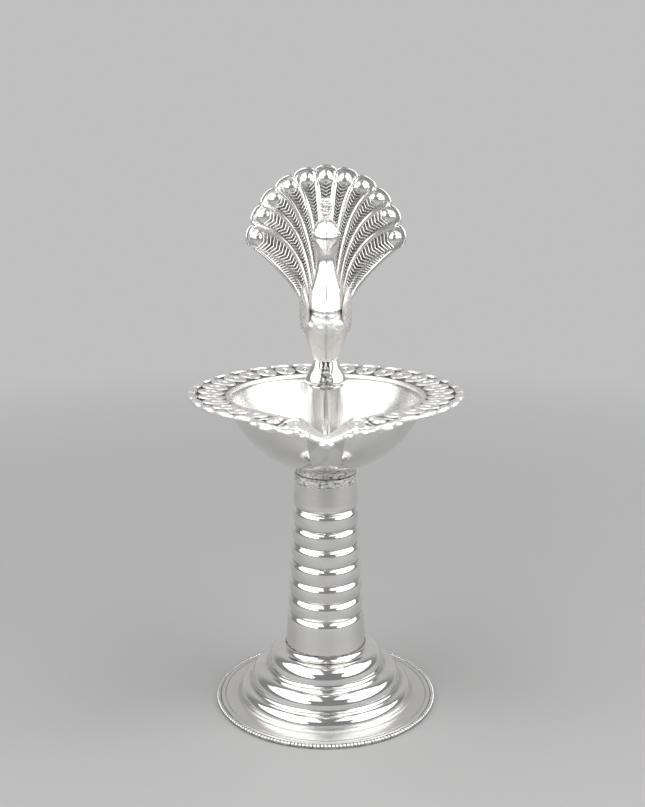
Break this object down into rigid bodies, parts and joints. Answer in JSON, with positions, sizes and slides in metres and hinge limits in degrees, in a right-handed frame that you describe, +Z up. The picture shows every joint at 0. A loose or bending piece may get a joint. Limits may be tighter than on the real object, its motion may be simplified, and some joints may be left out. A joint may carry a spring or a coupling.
{
  "type": "standing oil lamp",
  "caption": "Standing oil lamp in polished white metal: stepped round foot, ribbed stem, spouted bowl with a looped border, and a peacock with a fanned tail on a post in the bowl.",
  "frame": {"origin": "middle of the foot, on the table", "axes": "+Z up along the stem, -Y towards the spout, +X to the right of the spout seen from the front"},
  "size_m": [0.063, 0.0702, 0.1262],
  "materials": {
    "polished": "polished",
    "embossed": "polished, with tarnish in the grooves",
    "rough": "rough, knurled"
  },
  "bodies": {
    "stand": {"foot_edge": "embossed", "foot_shell": "polished", "stem_tube": "polished", "stem_bush": "rough"},
    "screw": {"bowl_stud": "rough"},
    "lamp_head": {"bowl_collar": "rough", "bowl_dish": "polished", "bowl_border": "embossed", "post_tube": "polished", "post_cap": "polished", "left_leg": "polished", "right_leg": "polished", "bird_left": "polished", "bird_right": "polished", "left_wing": "embossed", "right_wing": "embossed", "crest": "embossed", "tail_fan": "embossed", "tail_back": "polished"}
  },
  "joints": [
    {"name": "head_lift", "type": "slide", "parent": "stand", "child": "screw", "axis": [0, 0, 1], "range_m": [0, 0.005]},
    {"name": "head_turn", "type": "hinge", "parent": "screw", "child": "lamp_head", "pos_m": [0, 0, 0.0563], "axis": [0, 0, 1], "range_deg": [0, 1440]}
  ],
  "couplings": [
    {"joint": "head_lift", "follows": "head_turn", "m_per_rad": 0.00019894}
  ]
}
